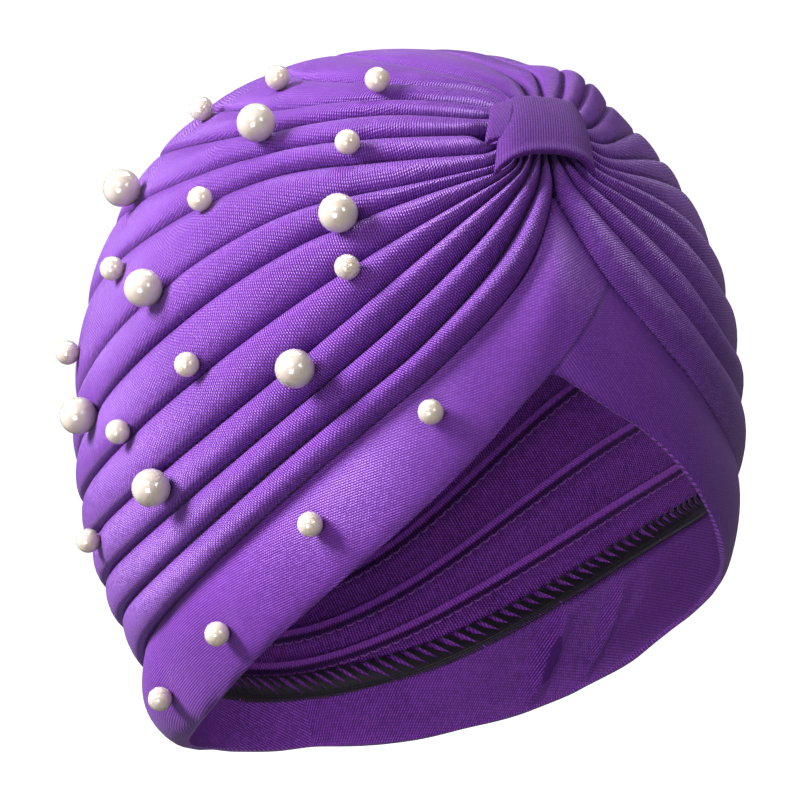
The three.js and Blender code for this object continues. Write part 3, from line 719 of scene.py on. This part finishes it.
print("band lift, mm:", (face_lift.min() / MM).round(1), "to", (face_lift.max() / MM).round(1))

# %% Mitre over the brow
# The left arm runs on over the brow and is cut along a line from the tip of the V to the right.
# The distance from that line is kept in the mesh, so the finish can change the lie of the knit there and
# paint shade along the crease.
MITRE_LOW = at_height(-3.7, 19.4 * MM)
MITRE_HIGH = at_height(6.8, 40.9 * MM)
mitre_across = unit(np.cross(unit(MITRE_HIGH - MITRE_LOW), outward(0.5 * (MITRE_LOW + MITRE_HIGH))))
mitre = (band_points - MITRE_LOW) @ mitre_across
front_stations = np.minimum(np.arange(STATIONS), STATIONS - np.arange(STATIONS)) < 40
mitre = np.where(front_stations[:, None], mitre, np.where(first_half, -10 * MM, 10 * MM)[:, None])
print("band points left and right of the mitre:", int((mitre < 0).sum()), int((mitre > 0).sum()))

# %% Knit maps of the band
# Both maps unroll the band round the head. The ribs lie almost level on the left arm and go across the
# right arm. Each map is unrolled past the middle of the front and back, as far as its arm is used.
LEFT_SLOPE, RIGHT_SLOPE = math.radians(24), math.radians(-62)
SECTION = band_points.shape[1]
reach = np.hypot(band_points[..., 0], band_points[..., 1])
turn = bearing_of(band_points)


def unrolled(degrees, slope):
    """Knit coordinates for ribs at a slope: across the ribs, and along them."""
    run, climb = np.radians(degrees) * reach.mean(), band_points[..., 2]
    across_ribs = run * math.sin(slope) - climb * math.cos(slope)
    along_ribs = run * math.cos(slope) + climb * math.sin(slope)
    return np.stack([across_ribs, along_ribs], axis=-1)


left_map = unrolled(np.where(turn > 60, turn - 360, turn), LEFT_SLOPE)
right_map = unrolled(np.where(turn < -60, turn + 360, turn), RIGHT_SLOPE)
band_faces, left_corners, right_corners = [], [], []
for i in range(STATIONS):
    for k in range(SECTION):
        n, j = (k + 1) % SECTION, (i + 1) % STATIONS
        band_faces.append((i * SECTION + k, j * SECTION + k, j * SECTION + n, i * SECTION + n))
        for a, b in ((i, k), (j, k), (j, n), (i, n)):
            left_corners.append(left_map[a, b])
            right_corners.append(right_map[a, b])
print("band faces:", len(band_faces))


# %% Band cloth
BAND_RIB, BAND_DASH = 0.6 * MM, 0.66 * MM
LINING_LOOPS = 1.35


def band_knit(tree, size=1):
    """Slanted ribs left of the mitre, straight ones right of it."""
    left = knit_height(tree, "knit", size * BAND_RIB, size * BAND_DASH)
    right = knit_height(tree, "knit_right", size * BAND_RIB, size * BAND_DASH)
    side = add_math(tree, "GREATER_THAN", add_attribute(tree, "mitre"), 0)
    change = add_math(tree, "MULTIPLY", side, add_math(tree, "SUBTRACT", right, left))
    return add_math(tree, "ADD", left, change)


def lining_knit(tree):
    """The lining is the loose side of the cloth, with larger loops."""
    return band_knit(tree, LINING_LOOPS)


def mitre_sink_and_shade(tree):
    """The cloth is sunk along the mitre, and painted darker there as shade in the crease."""
    return add_fade(tree, add_math(tree, "ABSOLUTE", add_attribute(tree, "mitre")), 0.1 * MM, 0.8 * MM, 0.6, 0)


violet_band = knit_finish("violet_band", (0.05, 0.008, 0.12), (0.165, 0.04, 0.33), band_knit,
                          dark=mitre_sink_and_shade, press=mitre_sink_and_shade, bump=0.5)
# The lining is the same knit as the band, its loops painted over twice as bright, as light on the inside.
violet_lining_painted_light = knit_finish("violet_lining_painted_light", (0.04, 0.004, 0.105), (0.42, 0.09, 0.76), lining_knit,
                            contrast=1.4, bump=0.9, gleam=0.7, rough=0.34)
lining_faces = [int(k % SECTION >= len(face_share) - 1) for k in range(len(band_faces))]
band = make_piece("band_cloth", band_points.reshape(-1, 3), band_faces, [violet_band, violet_lining_painted_light],
                  lining_faces, {"knit": left_corners, "knit_right": right_corners}, {"mitre": mitre.ravel()})
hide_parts("front_band")
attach(band, "root")
print("band triangles:", 2 * len(band.data.polygons))

# %% [markdown]
# ## The strap of the knot
# A short ribbed strap is bound over the gathers. It goes down into the cloth at its left and right
# and has two free edges, an arched one over the brow and a straight one behind. It starts as a flat
# grid, which is laid over the knot by a formula, then gets its thickness and soft edges from the
# Solidify and Subdivision Surface modifiers.

# %% Strap
# Sizes in mm: across, along and off the head.
STRAP = {
    "half_width_front": 14.2, "half_width_back": 11.4, "middle": -1.3, "skew": 0.3, "front": -14.6,
    "corner_drop": 4, "back": 8, "edge": 4.4, "rise": 6.3, "side_drop": 3, "roll": 0.7,
}
knot_normal = outward(knot_base)
strap_side = unit(np.array([1, 0, 0]) - knot_normal * knot_normal[0])
strap_climb = np.cross(knot_normal, strap_side)


def flat_grid(name, across, along_it):
    """A flat grid, with its points' places: u from -1 to 1 across, v from 0 to 1 along."""
    clear_selection()
    bpy.ops.mesh.primitive_grid_add(x_subdivisions=across, y_subdivisions=along_it, size=2)
    piece = bpy.context.object
    piece.name = piece.data.name = name
    u = np.array([v.co.x for v in piece.data.vertices])
    v = np.array([v.co.y for v in piece.data.vertices]) * 0.5 + 0.5
    return piece, u, v


def lay_over_knot(piece, side, place, high):
    base = on_dome(knot_base + (strap_side * side[:, None] + strap_climb * place[:, None]) * MM)
    laid = base + outward(base) * (high * MM)[:, None]
    piece.data.vertices.foreach_set("co", laid.astype(np.float32).ravel())


def map_knit(piece, across, place):
    layer = piece.data.uv_layers.new(name="knit")
    for corner in piece.data.loops:
        v = corner.vertex_index
        layer.data[corner.index].uv = (across[v] * MM, place[v] * MM)


strap, flat_u, flat_v = flat_grid("strap_cloth", 28, 24)
place = mix(STRAP["front"] - STRAP["corner_drop"] * np.abs(flat_u) ** 2.2, STRAP["back"], flat_v)
half_width = mix(STRAP["half_width_front"], STRAP["half_width_back"], flat_v)
arch = np.sin(np.pi * mix(0.2, 0.93, flat_v)) ** 0.8
rolled = STRAP["roll"] * np.exp(-(((flat_v - 0.05) / 0.06) ** 2))
high = mix(STRAP["edge"], STRAP["rise"], arch) + rolled - STRAP["side_drop"] * np.abs(flat_u) ** 5
side = STRAP["middle"] + STRAP["skew"] * place + flat_u * half_width
lay_over_knot(strap, side, place, high)
map_knit(strap, flat_u * half_width, place)
print("strap points:", len(strap.data.vertices))

# %% Thickness and finish of the strap
STRAP_THICKNESS = 2 * MM
strap_knit = knit_finish("violet_strap", (0.024, 0.004, 0.06), (0.092, 0.02, 0.185),
                         plain_knit(0.66 * MM, 0.6 * MM), bump=0.5, gleam=0.2, rough=0.6)
strap.data.materials.append(strap_knit)


def apply_modifier(piece, kind, **settings):
    clear_selection()
    piece.select_set(True)
    bpy.context.view_layer.objects.active = piece
    modifier = piece.modifiers.new(kind.lower(), kind)
    for key, value in settings.items():
        setattr(modifier, key, value)
    bpy.ops.object.modifier_apply(modifier=modifier.name)


apply_modifier(strap, "SOLIDIFY", thickness=STRAP_THICKNESS, offset=-1)
print("strap faces with its thickness:", len(strap.data.polygons))

# %% First turn of the strap
# On the left the first turn of the strap peeps out from under the second.
TURN = {"front": -7.5, "back": 7, "aside": -13.2, "slope": 2.4, "half_width": 3.2, "edge": 3.4, "rise": 1.5,
        "tilt": 0.8, "tuck_in": 0.7}
TURN_THICKNESS = 1.6 * MM
turn_under, turn_u, turn_v = flat_grid("strap_turn", 8, 14)
turn_place = mix(TURN["front"], TURN["back"], turn_v)
turn_side = STRAP["middle"] + STRAP["skew"] * turn_place + TURN["aside"] + TURN["slope"] * turn_v
turn_side = turn_side + TURN["half_width"] * turn_u
turn_high = TURN["edge"] + TURN["rise"] * np.sin(np.pi * mix(0.15, 0.9, turn_v)) + TURN["tilt"] * turn_u
turn_high = turn_high - TURN["tuck_in"] * (turn_u < -0.99)
lay_over_knot(turn_under, turn_side, turn_place, turn_high)
map_knit(turn_under, turn_side, turn_place)
turn_under.data.materials.append(strap_knit)
apply_modifier(turn_under, "SOLIDIFY", thickness=TURN_THICKNESS, offset=-1)
strap.select_set(True)
bpy.context.view_layer.objects.active = strap
bpy.ops.object.join()
apply_modifier(strap, "SUBSURF", levels=1, render_levels=1)
bpy.ops.object.shade_smooth()
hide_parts("knot")
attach(strap, "root")
print("strap faces:", len(strap.data.polygons))

# %% [markdown]
# ## The overlocked seam
# Where the band is sewn to the crown, the two raw edges stand inside as a narrow ridge. Black thread
# is wound over it in slanting stitches, so the purple edge shows between them. The ridge is a strip
# swept along the first tuck. One stitch is a short bent thread, and a loop lays hundreds of them side by
# side, each with only a few dozen faces.

# %% Ridge of the seam
SEAM_WIDTH = 7.4 * MM
SEAM_THICKNESS = 1.5 * MM
SEAM_END = 0.06
seam_share = np.linspace(SEAM_END, 1 - SEAM_END, 261)
seam_low = along(tuck_lines[0], seam_share)
seam_next = along(tuck_lines[1], seam_share)
seam_width = np.linalg.norm(seam_next - seam_low, axis=1)
seam_rise = np.minimum(SEAM_WIDTH, 0.62 * seam_width)
seam_inset = -CREASE_SHARE * np.interp(seam_share, row_share, crease[0]) - WALL - 0.2 * MM
seam_inset -= RIGHT_EASE * smooth_step(seam_low[:, 0], 30 * MM, 75 * MM)
SEAM_SECTION = [(-0.15, 0), (0.5, 0.1), (0.9, 0), (1, -0.4), (0.9, -0.9), (0.5, -1.1), (0, -0.9), (-0.2, -0.5)]


def on_seam(up, depth):
    """A point beside the seam: up is the share of its width, depth in seam thicknesses towards the head."""
    base = on_dome(mix(seam_low, seam_next, (up * seam_rise / seam_width)[:, None]))
    return base + outward(base) * (seam_inset + depth * SEAM_THICKNESS)[:, None]


seam_points = np.stack([on_seam(np.full(len(seam_share), up), depth) for up, depth in SEAM_SECTION], axis=1)
size = len(SEAM_SECTION)
seam_faces = []
for i in range(len(seam_share) - 1):
    for k in range(size):
        n = (k + 1) % size
        seam_faces.append((i * size + k, i * size + n, (i + 1) * size + n, (i + 1) * size + k))
last = (len(seam_share) - 1) * size
seam_faces += [tuple(reversed(range(size))), tuple(range(last, last + size))]
seam_run = np.repeat(np.linspace(0, 0.5, len(seam_share)), size)
seam_corners = [(seam_run[v], (v % size) * 1.2 * MM) for f in seam_faces for v in f]
seam = make_piece("seam_edge", seam_points.reshape(-1, 3), seam_faces, [wrong_side_painted_light], None,
                  {"knit": seam_corners})
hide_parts("seam_allowance")
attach(seam, "root")
print("seam faces:", len(seam.data.polygons))


# %% Round threads
def threads(paths, radius, sides):
    """Closed round threads along paths of shape (threads, points, 3): points and faces of one mesh."""
    ahead = np.gradient(paths, axis=1)
    ahead /= np.linalg.norm(ahead, axis=2, keepdims=True)
    out = outward(paths)
    across = np.cross(ahead, out)
    across /= np.linalg.norm(across, axis=2, keepdims=True)
    out = np.cross(across, ahead)
    turn = np.arange(sides) * 2 * np.pi / sides
    bow = np.cos(turn)[:, None] * out[:, :, None] + np.sin(turn)[:, None] * across[:, :, None]
    ring = paths[:, :, None] + radius * bow
    count, steps = paths.shape[:2]
    faces = []
    for c in range(count):
        first = c * steps * sides
        for i in range(steps - 1):
            for k in range(sides):
                n, a = (k + 1) % sides, first + i * sides
                faces.append((a + k, a + n, a + sides + n, a + sides + k))
        end = first + (steps - 1) * sides
        faces += [tuple(reversed(range(first, first + sides))), tuple(range(end, end + sides))]
    return ring.reshape(-1, 3), faces


def thread_finish(name, colour, roughness, sheen):
    finish = bpy.data.materials.new(name)
    finish.use_nodes = True
    tree = finish.node_tree
    shader = tree.nodes["Principled BSDF"]
    dark, light = tuple(0.5 * c for c in colour), tuple(1.5 * c for c in colour)
    tree.links.new(blend(tree, speckled(tree, 2600, 2), dark, light), shader.inputs["Base Color"])
    shader.inputs["Roughness"].default_value = roughness
    shader.inputs["Sheen Weight"].default_value = sheen
    return finish


black_thread = thread_finish("black_thread", (0.012, 0.008, 0.016), 0.5, 0.1)
violet_thread = thread_finish("violet_thread", (0.38, 0.13, 0.56), 0.4, 0.1)
print("thread finishes:", black_thread.name, violet_thread.name)

# %% Overlock stitches
# Five threads make a group. They lie side by side at the seam and draw together half-way up, which leaves
# a leaf-shaped patch of purple between the groups. A looping thread runs along the foot of them all.
GROUP = 4.1 * MM
IN_GROUP = 5
SLANT = 5 * MM
STITCH_RADIUS, STITCH_SIDES = 0.27 * MM, 5
LOOP_STEP, LOOP_LENGTH, LOOP_RADIUS = 0.7 * MM, 1.4 * MM, 0.34 * MM
seam_length = np.linalg.norm(np.diff(seam_low, axis=0), axis=1).sum()
groups = int(seam_length / GROUP) - 2
stitch_climb = np.array([-0.24, -0.02, 0.22, 0.44, 0.7, 0.92, 1.05])
stitch_depth = np.array([-0.35, -1.15, -1.3, -1.35, -1.3, -1.1, -0.2])


def beside_seam(run, climb, depth):
    """Points at distances along the seam, shares of its height, and depths in seam thicknesses."""
    place = np.clip(run / seam_length, 0, 1) * (len(seam_share) - 1)
    cell = np.minimum(place.astype(int), len(seam_share) - 2)
    part_way = (place - cell)[:, None]
    foot_line = mix(seam_low[cell], seam_low[cell + 1], part_way)
    next_line = mix(seam_next[cell], seam_next[cell + 1], part_way)
    rise = np.interp(place, np.arange(len(seam_share)), seam_rise / seam_width)
    inset = np.interp(place, np.arange(len(seam_share)), seam_inset)
    base = on_dome(mix(foot_line, next_line, (climb * rise)[:, None]))
    return base + outward(base) * (inset + depth * SEAM_THICKNESS)[:, None]


stitches = []
for group in range(groups):
    start = (group + 1) * GROUP + random.uniform(-0.3, 0.3) * MM
    draw = random.uniform(0.3, 0.4) * MM
    spread = mix(GROUP / IN_GROUP, draw, smooth_step(stitch_climb, 0, 0.5))
    for thread in range(IN_GROUP):
        run = start + SLANT * (1 - stitch_climb) + thread * spread
        stitches.append(beside_seam(run, stitch_climb, stitch_depth))
stitch_points, stitch_faces = threads(np.stack(stitches), STITCH_RADIUS, STITCH_SIDES)
loop_run = np.arange(GROUP, groups * GROUP, LOOP_STEP)
wave = np.sin(loop_run * 2 * np.pi / LOOP_LENGTH)
level = np.ones(len(wave))
loops = [
    beside_seam(loop_run, -0.12 + 0.03 * wave, -1.0 * level),
    beside_seam(loop_run, -0.02 - 0.04 * wave, -1.15 * level),
]
loop_points, loop_faces = threads(np.stack(loops), LOOP_RADIUS, STITCH_SIDES)
stitch_faces += [tuple(v + len(stitch_points) for v in f) for f in loop_faces]
stitch_points = np.vstack([stitch_points, loop_points])
overlock = make_piece("overlock_thread", stitch_points, stitch_faces, [black_thread])
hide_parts("seam_allowance")
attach(overlock, "root")
print("overlock stitches:", len(stitches))

# %% [markdown]
# ## Tuck threads on the inside
# Beside each cord, the sewing thread of the tuck shows on the inside as a line of tiny scallops, one
# for each stitch. Each is a short arc of round thread, laid on the inner face a little below the cord.

# %% Tuck threads
STITCH = 3.4 * MM
STITCH_SHARE = 0.92
THREAD_GAP, THREAD_HANG, THREAD_RADIUS = 2.3 * MM, 0.8 * MM, 0.19 * MM
THREAD_END = 0.06
in_stitch = np.linspace(0, 1, 7)
arcs = []
for k in range(1, 8):
    length = np.concatenate([[0], np.cumsum(np.linalg.norm(np.diff(tucks[k], axis=0), axis=1))])
    starts = np.arange(THREAD_END * length[-1], (1 - THREAD_END) * length[-1], STITCH)
    share = np.interp((starts[:, None] + STITCH_SHARE * STITCH * in_stitch).ravel(), length, row_share)
    upper, lower = along(tucks[k], share), along(tucks[k - 1], share)
    width = np.linalg.norm(upper - lower, axis=1)
    hang = np.tile(np.sin(np.pi * in_stitch), len(starts))
    t = 1 - np.minimum(THREAD_GAP + THREAD_HANG * hang, 0.4 * width) / width
    base = on_dome(mix(lower, upper, t[:, None]))
    puff = np.interp(share, row_share, puffs[k - 1])
    dip = mix(np.interp(share, row_share, crease[k - 1]), np.interp(share, row_share, crease[k]), t)
    _, inner = wall(base, puff, dip, t, width)
    arcs.append((inner - outward(base) * (0.35 * hang[:, None] - 0.15) * MM).reshape(len(starts), -1, 3))
thread_points, thread_faces = threads(np.concatenate(arcs), THREAD_RADIUS, 4)
tuck_thread = make_piece("tuck_thread", thread_points, thread_faces, [violet_thread])
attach(tuck_thread, "root")
print("stitches in the tucks:", sum(len(a) for a in arcs))

# %% [markdown]
# ## The pearls
# The pearls are round plastic beads with a cream coat under a glossy skin. Each has a short foot that is
# pressed through the cloth, so it sits in a small dimple. A bead starts as a sphere, its lower cap is
# drawn in to the foot, and it is let down on the folds where its node stands, with its own mesh. Light
# goes some way into the coat, which softens its shade.

# %% Pearl finish
pearl_finish = bpy.data.materials.new("cream_pearl")
pearl_finish.use_nodes = True
tree = pearl_finish.node_tree
shader = tree.nodes["Principled BSDF"]
cream = blend(tree, speckled(tree, 160, 2), (0.33, 0.29, 0.255), (0.48, 0.445, 0.41))
tree.links.new(cream, shader.inputs["Base Color"])
shader.inputs["Roughness"].default_value = 0.26
shader.inputs["Coat Weight"].default_value = 1
shader.inputs["Coat IOR"].default_value = 1.7
shader.inputs["Coat Roughness"].default_value = 0.05
shader.inputs["Subsurface Weight"].default_value = 1
shader.inputs["Subsurface Radius"].default_value = (1, 0.85, 0.7)
shader.inputs["Subsurface Scale"].default_value = 9 * MM
print("pearl finish:", pearl_finish.name)


# %% Cloth under the pearls
def points_of(piece):
    found = np.empty(3 * len(piece.data.vertices), np.float32)
    piece.data.vertices.foreach_get("co", found)
    return found.reshape(-1, 3).astype(float)


cloth_points = np.vstack([points_of(crown), points_of(band)])


def resting_middle(middle, radius, out):
    """Let a bead down along its axis until it touches the cloth."""
    away = cloth_points - middle
    height = away @ out
    aside = np.sqrt(np.maximum((away**2).sum(axis=1) - height**2, 0))
    below = (aside < radius) & (height > -4 * radius)
    return middle + out * (height[below] + np.sqrt(radius**2 - aside[below] ** 2)).max()


SINK = 0.4 * MM
# Millimetres to the viewer's right and up by which a bead is sewn away from its node, along the cloth.
SEWN_ASIDE = {
    "pearl_small_8": (-2.2, 0.3), "pearl_small_10": (-2.4, 0), "pearl_small_15": (-1.6, 1.4),
    "pearl_large_6": (-1, 0.3), "pearl_small_4": (-0.3, 0.8), "pearl_small_12": (-0.8, 0.6),
}
VIEW_RIGHT, VIEW_UP = np.array([0.9155, -0.4025, 0]), np.array([0.02, 0.046, 0.999])
beads = []
for name in sorted(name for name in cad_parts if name.startswith("pearl")):
    corner_low, corner_high = (np.array(c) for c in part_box(name))
    aside = SEWN_ASIDE.get(name, (0, 0))
    middle = 0.5 * (corner_low + corner_high) + (aside[0] * VIEW_RIGHT + aside[1] * VIEW_UP) * MM
    radius = 0.5 * (corner_high - corner_low)[2]
    out = outward(on_dome(middle))
    beads.append((name, radius, out, resting_middle(middle, radius, out) - out * SINK))
print("pearls:", len(beads))

# %% Pearls
# Shares of the radius: where the foot starts, how far it is drawn in and how far it is drawn out.
FOOT_START, FOOT_WIDTH, FOOT_LENGTH = 0.93, 0.6, 0.12
for name, radius, out, middle in beads:
    clear_selection()
    bpy.ops.mesh.primitive_uv_sphere_add(segments=48, ring_count=28, radius=radius, location=(0, 0, 0))
    pearl = bpy.context.object
    pearl.name = pearl.data.name = name.replace("pearl", "bead")
    for v in pearl.data.vertices:
        if v.co.z < -FOOT_START * radius:
            v.co.x *= FOOT_WIDTH
            v.co.y *= FOOT_WIDTH
            v.co.z -= FOOT_LENGTH * radius
    pearl.rotation_mode = "QUATERNION"
    pearl.rotation_quaternion = Vector(out).to_track_quat("Z", "Y")
    pearl.location = middle
    bpy.ops.object.transform_apply(location=True, rotation=True, scale=True)
    bpy.ops.object.shade_smooth()
    pearl.data.materials.append(pearl_finish)
    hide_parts(name)
    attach(pearl, "root")
print("pearl faces:", len(pearl.data.polygons))


# %% Dimples
DIMPLE_DEPTH, DIMPLE_REACH = 0.16, 1.25


def dimple(cloth):
    """Press the cloth in a little under each bead, with both faces together."""
    points = points_of(cloth)
    for _, radius, out, middle in beads:
        gap = np.linalg.norm(points - (middle - out * radius), axis=1)
        points -= out * (DIMPLE_DEPTH * radius * np.exp(-((gap / (DIMPLE_REACH * radius)) ** 2)))[:, None]
    cloth.data.vertices.foreach_set("co", points.astype(np.float32).ravel())
    cloth.data.update()


dimple(crown)
dimple(band)
print("dimples:", len(beads))

# %% [markdown]
# ## Surfaces of the cloth
# The crown is one panel, pointed at both ends, where its tucks run together under the strap. Half the
# surface of each piece is printed: the band as it is finished, folded once along the hem, and the strap
# as the short strip that shows.

# %% Half the surface of each piece
for piece in (crown, band, strap):
    surface = sum(f.area for f in piece.data.polygons)
    print(piece.name, "half of its surface, mm2:", round(0.5 * surface / MM**2))

# %% [markdown]
# ## Studio
# The turban is held up as a head would hold it, in front of a plain white ground. The camera stands a
# little to the left of the brow, almost level. A wide soft lamp on the upper left makes the left side
# bright and leaves the right side in half shade. A weaker one on top picks out the gathers, and three
# small fills open the shade, light the inside and give the pearls their sparkle.

# %% Floor and world
FLOOR_HEIGHT = -0.6
SKY_LIGHT, GROUND_WHITE = 0.18, 1.05
clear_selection()
bpy.ops.mesh.primitive_plane_add(size=30, location=(0, 0, FLOOR_HEIGHT))
floor = bpy.context.object
floor.name = "studio_floor"
white = bpy.data.materials.new("studio_white")
white.use_nodes = True
shader = white.node_tree.nodes["Principled BSDF"]
shader.inputs["Base Color"].default_value = (0.92, 0.92, 0.92, 1)
shader.inputs["Emission Color"].default_value = (1, 1, 1, 1)
shader.inputs["Emission Strength"].default_value = 1
floor.data.materials.append(white)
floor.visible_diffuse = floor.visible_glossy = False
world = bpy.context.scene.world or bpy.data.worlds.new("studio")
bpy.context.scene.world = world
world.use_nodes = True
tree = world.node_tree
sky = tree.nodes["Background"]
sky.inputs["Color"].default_value = (1, 1, 1, 1)
sky.inputs["Strength"].default_value = SKY_LIGHT
ground = tree.nodes.new("ShaderNodeBackground")
ground.inputs["Color"].default_value = (1, 1, 1, 1)
ground.inputs["Strength"].default_value = GROUND_WHITE
path = tree.nodes.new("ShaderNodeLightPath")
choose = tree.nodes.new("ShaderNodeMixShader")
tree.links.new(path.outputs["Is Camera Ray"], choose.inputs[0])
tree.links.new(sky.outputs[0], choose.inputs[1])
tree.links.new(ground.outputs[0], choose.inputs[2])
tree.links.new(choose.outputs[0], tree.nodes["World Output"].inputs[0])
print("floor at, m:", round(floor.location.z, 3))


# %% Lamps
def soft_lamp(name, place, size, power):
    """A square lamp aimed at the origin, size in metres and power in watts."""
    data = bpy.data.lights.new(name, "AREA")
    data.shape = "SQUARE"
    data.size = size
    data.energy = power
    lamp = bpy.data.objects.new(name, data)
    lamp.location = place
    lamp.rotation_mode = "QUATERNION"
    lamp.rotation_quaternion = (-Vector(place)).to_track_quat("-Z", "Y")
    bpy.context.scene.collection.objects.link(lamp)


soft_lamp("key_upper_left", (-1.58, 0.3, 1.0), 0.8, 128)
soft_lamp("top", (0.55, 0.3, 1.7), 0.7, 26)
soft_lamp("fill_left", (-1.25, -1.2, 0.9), 0.7, 8)
soft_lamp("fill_front", (-1.25, -1.35, -0.4), 0.8, 18)
soft_lamp("fill_right", (0.25, -1.65, 0.65), 0.55, 7)

# %% Camera
PHOTO_WIDTH = 800
PIXELS_PER_MM = 3.73
CAMERA_DISTANCE = 1.3
CAMERA_AZIMUTH = -23.73
CAMERA_ELEVATION = 2.86
ORIGIN_PIXEL = (407.86, 429.29)
a, e = math.radians(CAMERA_AZIMUTH), math.radians(CAMERA_ELEVATION)
towards = Vector((math.sin(a) * math.cos(e), -math.cos(a) * math.cos(e), math.sin(e)))
camera_data = bpy.data.cameras.new("photo_camera")
camera_data.sensor_width = 36
camera_data.lens = 36 * CAMERA_DISTANCE * PIXELS_PER_MM * 1000 / PHOTO_WIDTH
camera_data.shift_x = (PHOTO_WIDTH / 2 - ORIGIN_PIXEL[0]) / PHOTO_WIDTH
camera_data.shift_y = (ORIGIN_PIXEL[1] - PHOTO_WIDTH / 2) / PHOTO_WIDTH
camera = bpy.data.objects.new("photo_camera", camera_data)
camera.location = towards * CAMERA_DISTANCE
camera.rotation_mode = "QUATERNION"
camera.rotation_quaternion = (-towards).to_track_quat("-Z", "Y")
bpy.context.scene.collection.objects.link(camera)
bpy.context.scene.camera = camera
bpy.context.scene.view_settings.view_transform = "Standard"
print("lens, mm:", round(camera_data.lens, 1))
